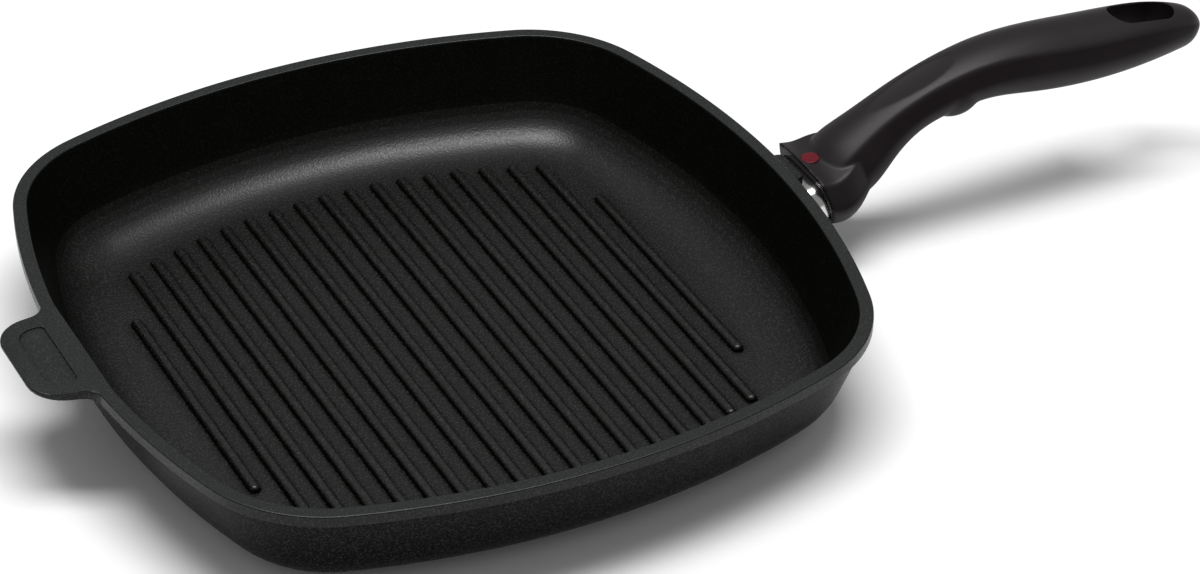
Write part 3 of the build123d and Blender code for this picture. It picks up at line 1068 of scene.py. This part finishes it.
def surface_tree(piece):
    """Returns the piece's surface as a tree that takes rays."""
    mesh = bmesh.new()
    mesh.from_mesh(piece.data)
    tree = BVHTree.FromBMesh(mesh)
    mesh.free()
    return tree


def hanging_slot(handle, surface):
    """Returns the slot cut through the tip for hanging. Its rounded edges follow the surface."""
    middle = mouth_reach + handle.reach - hole_margin - hole_length / 2
    straight = hole_length / 2 - hole_radius
    lowest, highest = mouth_rise, mouth_rise + handle.rise + handle.height
    lip = []
    for step in range(6):
        turn = pi / 2 * step / 5
        lip.append((hole_edge * (1 - cos(turn)), hole_edge * (1 - sin(turn))))

    def outline(growth):
        points = []
        for end in (1, -1):
            for step in range(33):
                turn = pi * (step / 32 - 0.5)
                radius = hole_radius + growth
                points.append((middle + end * (straight + radius * cos(turn)), end * radius * sin(turn)))
        return points

    def edge_ring(growth, depth, start, direction):
        ring = []
        for x, y in outline(growth):
            hit = surface.ray_cast(Vector((x, y, start)), Vector((0, 0, direction)))[0]
            ring.append((x, y, hit.z + direction * depth))
        return ring

    rings = [[(x, y, lowest) for x, y in outline(hole_edge)]]
    rings += [edge_ring(growth, depth, 0.0, 1) for growth, depth in reversed(lip)]
    rings += [edge_ring(growth, depth, highest, -1) for growth, depth in lip]
    rings.append([(x, y, highest) for x, y in outline(hole_edge)])
    return skin(rings)


def dot_frame(handle_piece):
    """Returns the frame of the round accent, its origin level with the flange round it."""
    origin = mouth_frame @ Vector((0, flange_height / 2, dot_reach))
    up = mouth_frame.col[1].xyz * cos(dot_tilt) + mouth_frame.col[2].xyz * sin(dot_tilt)
    across = Vector((0, 1, 0))
    above = frame_at(origin, across, up.cross(across), up)
    surface = surface_tree(handle_piece)
    drops = []
    for side in range(12):
        angle = 2 * pi * side / 12
        start = above @ Vector((dot_margin * cos(angle), dot_margin * sin(angle), 0))
        drops.append(surface.ray_cast(start, -up)[3])
    return above @ Matrix.Translation((0, 0, -sum(drops) / len(drops)))


def soften(piece, rounds):
    """Gives the piece one even skin and smooths it."""
    add_modifier(piece, "REMESH", mode="VOXEL", voxel_size=handle_voxel)
    add_modifier(piece, "SMOOTH", factor=0.5, iterations=rounds)
    apply_modifiers(piece)


class GRILLPAN_OT_handle(bpy.types.Operator):
    """Mould the handle: flange, neck, grip, thumb scoop, finger stop and hanging slot"""

    bl_idname = "grillpan.handle"
    bl_label = "Build handle"

    def execute(self, context):
        handle = context.scene.grill_pan_handle
        spine = handle_spine(handle)
        grip = new_piece("handle_moulding", grip_body(handle, spine), moulded_phenolic())
        stop_axis = stop_radius - stop_height - stop_share * handle.height / 2
        stop = barrel(station_frame(spine, stop_place), stop_axis, stop_length, stop_radius, stop_swell)
        combine(grip, stop, "UNION")
        soften(grip, 12)
        combine(grip, flange_body(), "UNION")
        combine(grip, thumb_scoop(handle, spine), "DIFFERENCE")
        soften(grip, 9)
        axis = screw_frame()
        ends = 0, tongue_reach + fit_clearance
        hollows = (
            hanging_slot(handle, surface_tree(grip)),
            skin([guard_ring(fit_clearance, along) for along in (-mouth_overrun, guard_seat)]),
            skin([tongue_ring(fit_clearance, end, corner_steps=2) for end in ends]),
            cylinder(axis, shank_radius, 0, shank_reach, 48),
            cylinder(axis, head_radius, screw_seat, head_reach, 64),
            cylinder(dot_frame(grip), dot_radius + dot_clearance, -dot_depth, dot_overrun, 64),
        )
        for hollow in hollows:
            combine(grip, hollow, "DIFFERENCE")
        shade(grip, 35)
        finish_piece(grip, "handle_plastic", "handle_grip")
        return {"FINISHED"}


class GRILLPAN_OT_guard(bpy.types.Operator):
    """Draw the steel flame guard between the casting and the handle"""

    bl_idname = "grillpan.guard"
    bl_label = "Build flame guard"

    def execute(self, context):
        rings = []
        for growth, along in (
            (-1.0, guard_start),
            (-0.35, guard_start + 0.02 * MM),
            (-0.1, guard_start + 0.12 * MM),
            (0, guard_start + 0.4 * MM),
            (0, guard_start + 0.9 * MM),
            (0, guard_seat - 0.3 * MM),
            (-0.1, guard_seat),
            (-0.7, guard_seat),
            (-0.8, guard_seat - 0.3 * MM),
            (-0.8, guard_start + 1.2 * MM),
            (-1.2, guard_start + guard_wall),
        ):
            rings.append(guard_ring(growth * MM, along))
        rings += [tongue_ring(fit_clearance, along) for along in (guard_start + guard_wall, guard_start)]
        guard = new_piece("guard_sleeve", skin(rings, closed=True), polished_steel())
        shade(guard, 35)
        finish_piece(guard, "guard_steel", "flame_guard")
        return {"FINISHED"}


class GRILLPAN_OT_dot(bpy.types.Operator):
    """Set the round enamel accent into the flange"""

    bl_idname = "grillpan.dot"
    bl_label = "Build accent"

    def execute(self, context):
        outline = [(dot_radius, -dot_depth), (dot_radius, 0.0)]
        for inset, height in ((0.06, 0.12), (0.2, 0.18), (0.9, 0.22), (2.2, 0.25)):
            outline.append((dot_radius - inset * MM, height * MM))
        outline.append((0.3 * MM, 0.26 * MM))
        place = dot_frame(bpy.data.objects["handle_moulding"])
        dot = new_piece("accent_button", lathe(place, outline, 64), red_enamel())
        shade(dot, 50)
        finish_piece(dot, "dot_enamel", "accent_dot")
        return {"FINISHED"}


class GRILLPAN_OT_fasteners(bpy.types.Operator):
    """Give the screw, washers and insert their zinc-plated finish"""

    bl_idname = "grillpan.fasteners"
    bl_label = "Finish fasteners"

    def execute(self, context):
        zinc = zinc_plate()
        for name in ("handle_screw", "flat_washer", "spring_washer", "thread_insert"):
            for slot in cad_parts[name].material_slots:
                slot.material = zinc
        return {"FINISHED"}


# Stage

camera_place = (-0.477865, -1.026496, 0.813586)
camera_right = (0.88872804, -0.4581266, 0.01680778)
camera_up = (0.24897385, 0.51312482, 0.82141034)
camera_ahead = (0.38493441, 0.7258257, -0.57008996)
camera_lens = 115.12
camera_sensor = 36.0
camera_clip = 0.05, 100
light_length, light_width, light_height, light_offset = 1.8, 0.8, 2.4, 0.05
floor_half = 30.0


def overhead_light(power):
    """Adds a broad soft light straight above the pan, its long side across the view."""
    light = bpy.data.lights.new("overhead_light", "AREA")
    light.shape = "RECTANGLE"
    light.size, light.size_y = light_length, light_width
    light.energy = power
    lamp = bpy.data.objects.new("overhead_light", light)
    lamp.location = (0, light_offset, light_height)
    lamp.rotation_euler = (0, 0, atan2(camera_right[1], camera_right[0]))
    bpy.context.scene.collection.objects.link(lamp)


class GRILLPAN_OT_stage(bpy.types.Operator):
    """Set up the pale floor, the soft light and the camera"""

    bl_idname = "grillpan.stage"
    bl_label = "Build stage"

    def execute(self, context):
        stage = context.scene.grill_pan_stage
        material, _, shader, _ = new_material("studio_floor", **{"Roughness": 0.9, "Specular IOR Level": 0.1})
        shader.inputs["Base Color"].default_value = (*stage.floor, 1)
        mesh = bmesh.new()
        corners = ((-1, -1), (1, -1), (1, 1), (-1, 1))
        mesh.faces.new([mesh.verts.new((x * floor_half, y * floor_half, 0)) for x, y in corners])
        floor = new_piece("studio_floor", mesh, material)
        overhead_light(stage.light)
        world = bpy.data.worlds.new("studio_world")
        world.use_nodes = True
        grey = world.node_tree.nodes["Background"]
        grey.inputs["Color"].default_value = (1, 1, 1, 1)
        grey.inputs["Strength"].default_value = stage.world
        context.scene.world = world
        data = bpy.data.cameras.new("camera")
        data.lens = camera_lens
        data.sensor_width = camera_sensor
        data.clip_start, data.clip_end = camera_clip
        camera = bpy.data.objects.new("camera", data)
        camera.matrix_world = frame_at(camera_place, camera_right, camera_up, [-a for a in camera_ahead])
        context.scene.collection.objects.link(camera)
        context.scene.camera = camera
        context.scene.view_settings.view_transform = "Standard"
        return {"FINISHED"}


operators = (
    GRILLPAN_OT_casting,
    GRILLPAN_OT_ribs,
    GRILLPAN_OT_handle,
    GRILLPAN_OT_guard,
    GRILLPAN_OT_dot,
    GRILLPAN_OT_fasteners,
    GRILLPAN_OT_stage,
)
groups = {
    "grill_pan_casting": GrillPanCasting,
    "grill_pan_ribs": GrillPanRibs,
    "grill_pan_handle": GrillPanHandle,
    "grill_pan_stage": GrillPanStage,
}


class GRILLPAN_PT_panel(bpy.types.Panel):
    """Settings and build steps of the grill pan"""

    bl_idname = "GRILLPAN_PT_panel"
    bl_label = "Grill Pan"
    bl_space_type = "VIEW_3D"
    bl_region_type = "UI"
    bl_category = "Grill Pan"

    def draw(self, context):
        for name, group in groups.items():
            box = self.layout.box()
            box.label(text=name.replace("grill_pan_", "").capitalize())
            for setting in group.__annotations__:
                box.prop(getattr(context.scene, name), setting)
        for operator in operators:
            self.layout.operator(operator.bl_idname)


def register():
    for group in groups.values():
        bpy.utils.register_class(group)
    for name, group in groups.items():
        setattr(bpy.types.Scene, name, bpy.props.PointerProperty(type=group))
    for operator in operators:
        bpy.utils.register_class(operator)
    bpy.utils.register_class(GRILLPAN_PT_panel)


def unregister():
    bpy.utils.unregister_class(GRILLPAN_PT_panel)
    for operator in reversed(operators):
        bpy.utils.unregister_class(operator)
    for name, group in groups.items():
        delattr(bpy.types.Scene, name)
        bpy.utils.unregister_class(group)


def main():
    register()
    bpy.ops.grillpan.casting()
    bpy.ops.grillpan.ribs()
    bpy.ops.grillpan.handle()
    bpy.ops.grillpan.guard()
    bpy.ops.grillpan.dot()
    bpy.ops.grillpan.fasteners()
    bpy.ops.grillpan.stage()


if __name__ == "__main__":
    main()
